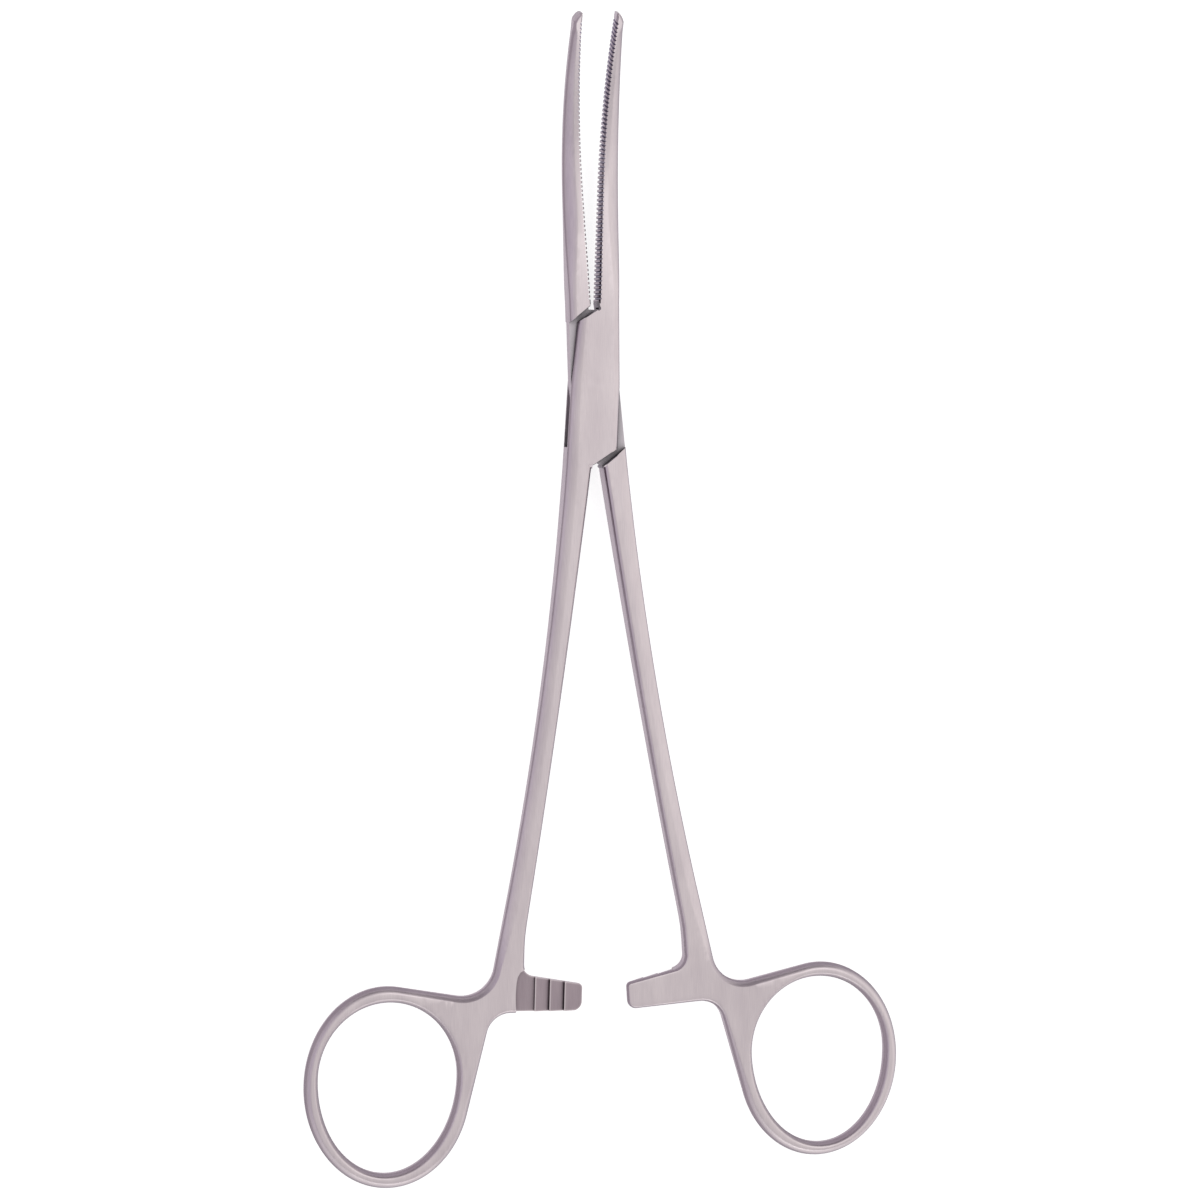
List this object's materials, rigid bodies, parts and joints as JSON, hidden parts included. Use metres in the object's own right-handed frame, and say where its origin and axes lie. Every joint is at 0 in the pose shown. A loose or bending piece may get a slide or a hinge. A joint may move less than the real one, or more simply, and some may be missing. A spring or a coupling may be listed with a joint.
{
  "type": "surgical clamp",
  "caption": "Curved surgical clamp with long serrated jaws, a box lock, slender shanks, finger rings and a ratchet catch.",
  "frame": {"origin": "on the pin's axis, at the rear face of the lock plates", "axes": "+Y along the clamp towards the jaw tips, +Z out of the front of the lock, along the pin and to the side the jaws curve to, +X to the right seen from the front"},
  "size_m": [0.1046, 0.1976, 0.0123],
  "materials": {
    "satin_steel": "satin stainless steel, lightly brushed along the instrument",
    "pin_steel": "satin stainless steel, ground flush with the lock plates"
  },
  "bodies": {
    "box_side": {"box_half": "satin_steel", "lock_pin": "pin_steel"},
    "tongue_side": {"tongue_half": "satin_steel"}
  },
  "joints": [
    {"name": "lock_hinge", "type": "hinge", "parent": "box_side", "child": "tongue_side", "pos_m": [0, 0, 0.0025], "axis": [0, 0, 1], "range_deg": [-5.4, 45]}
  ]
}
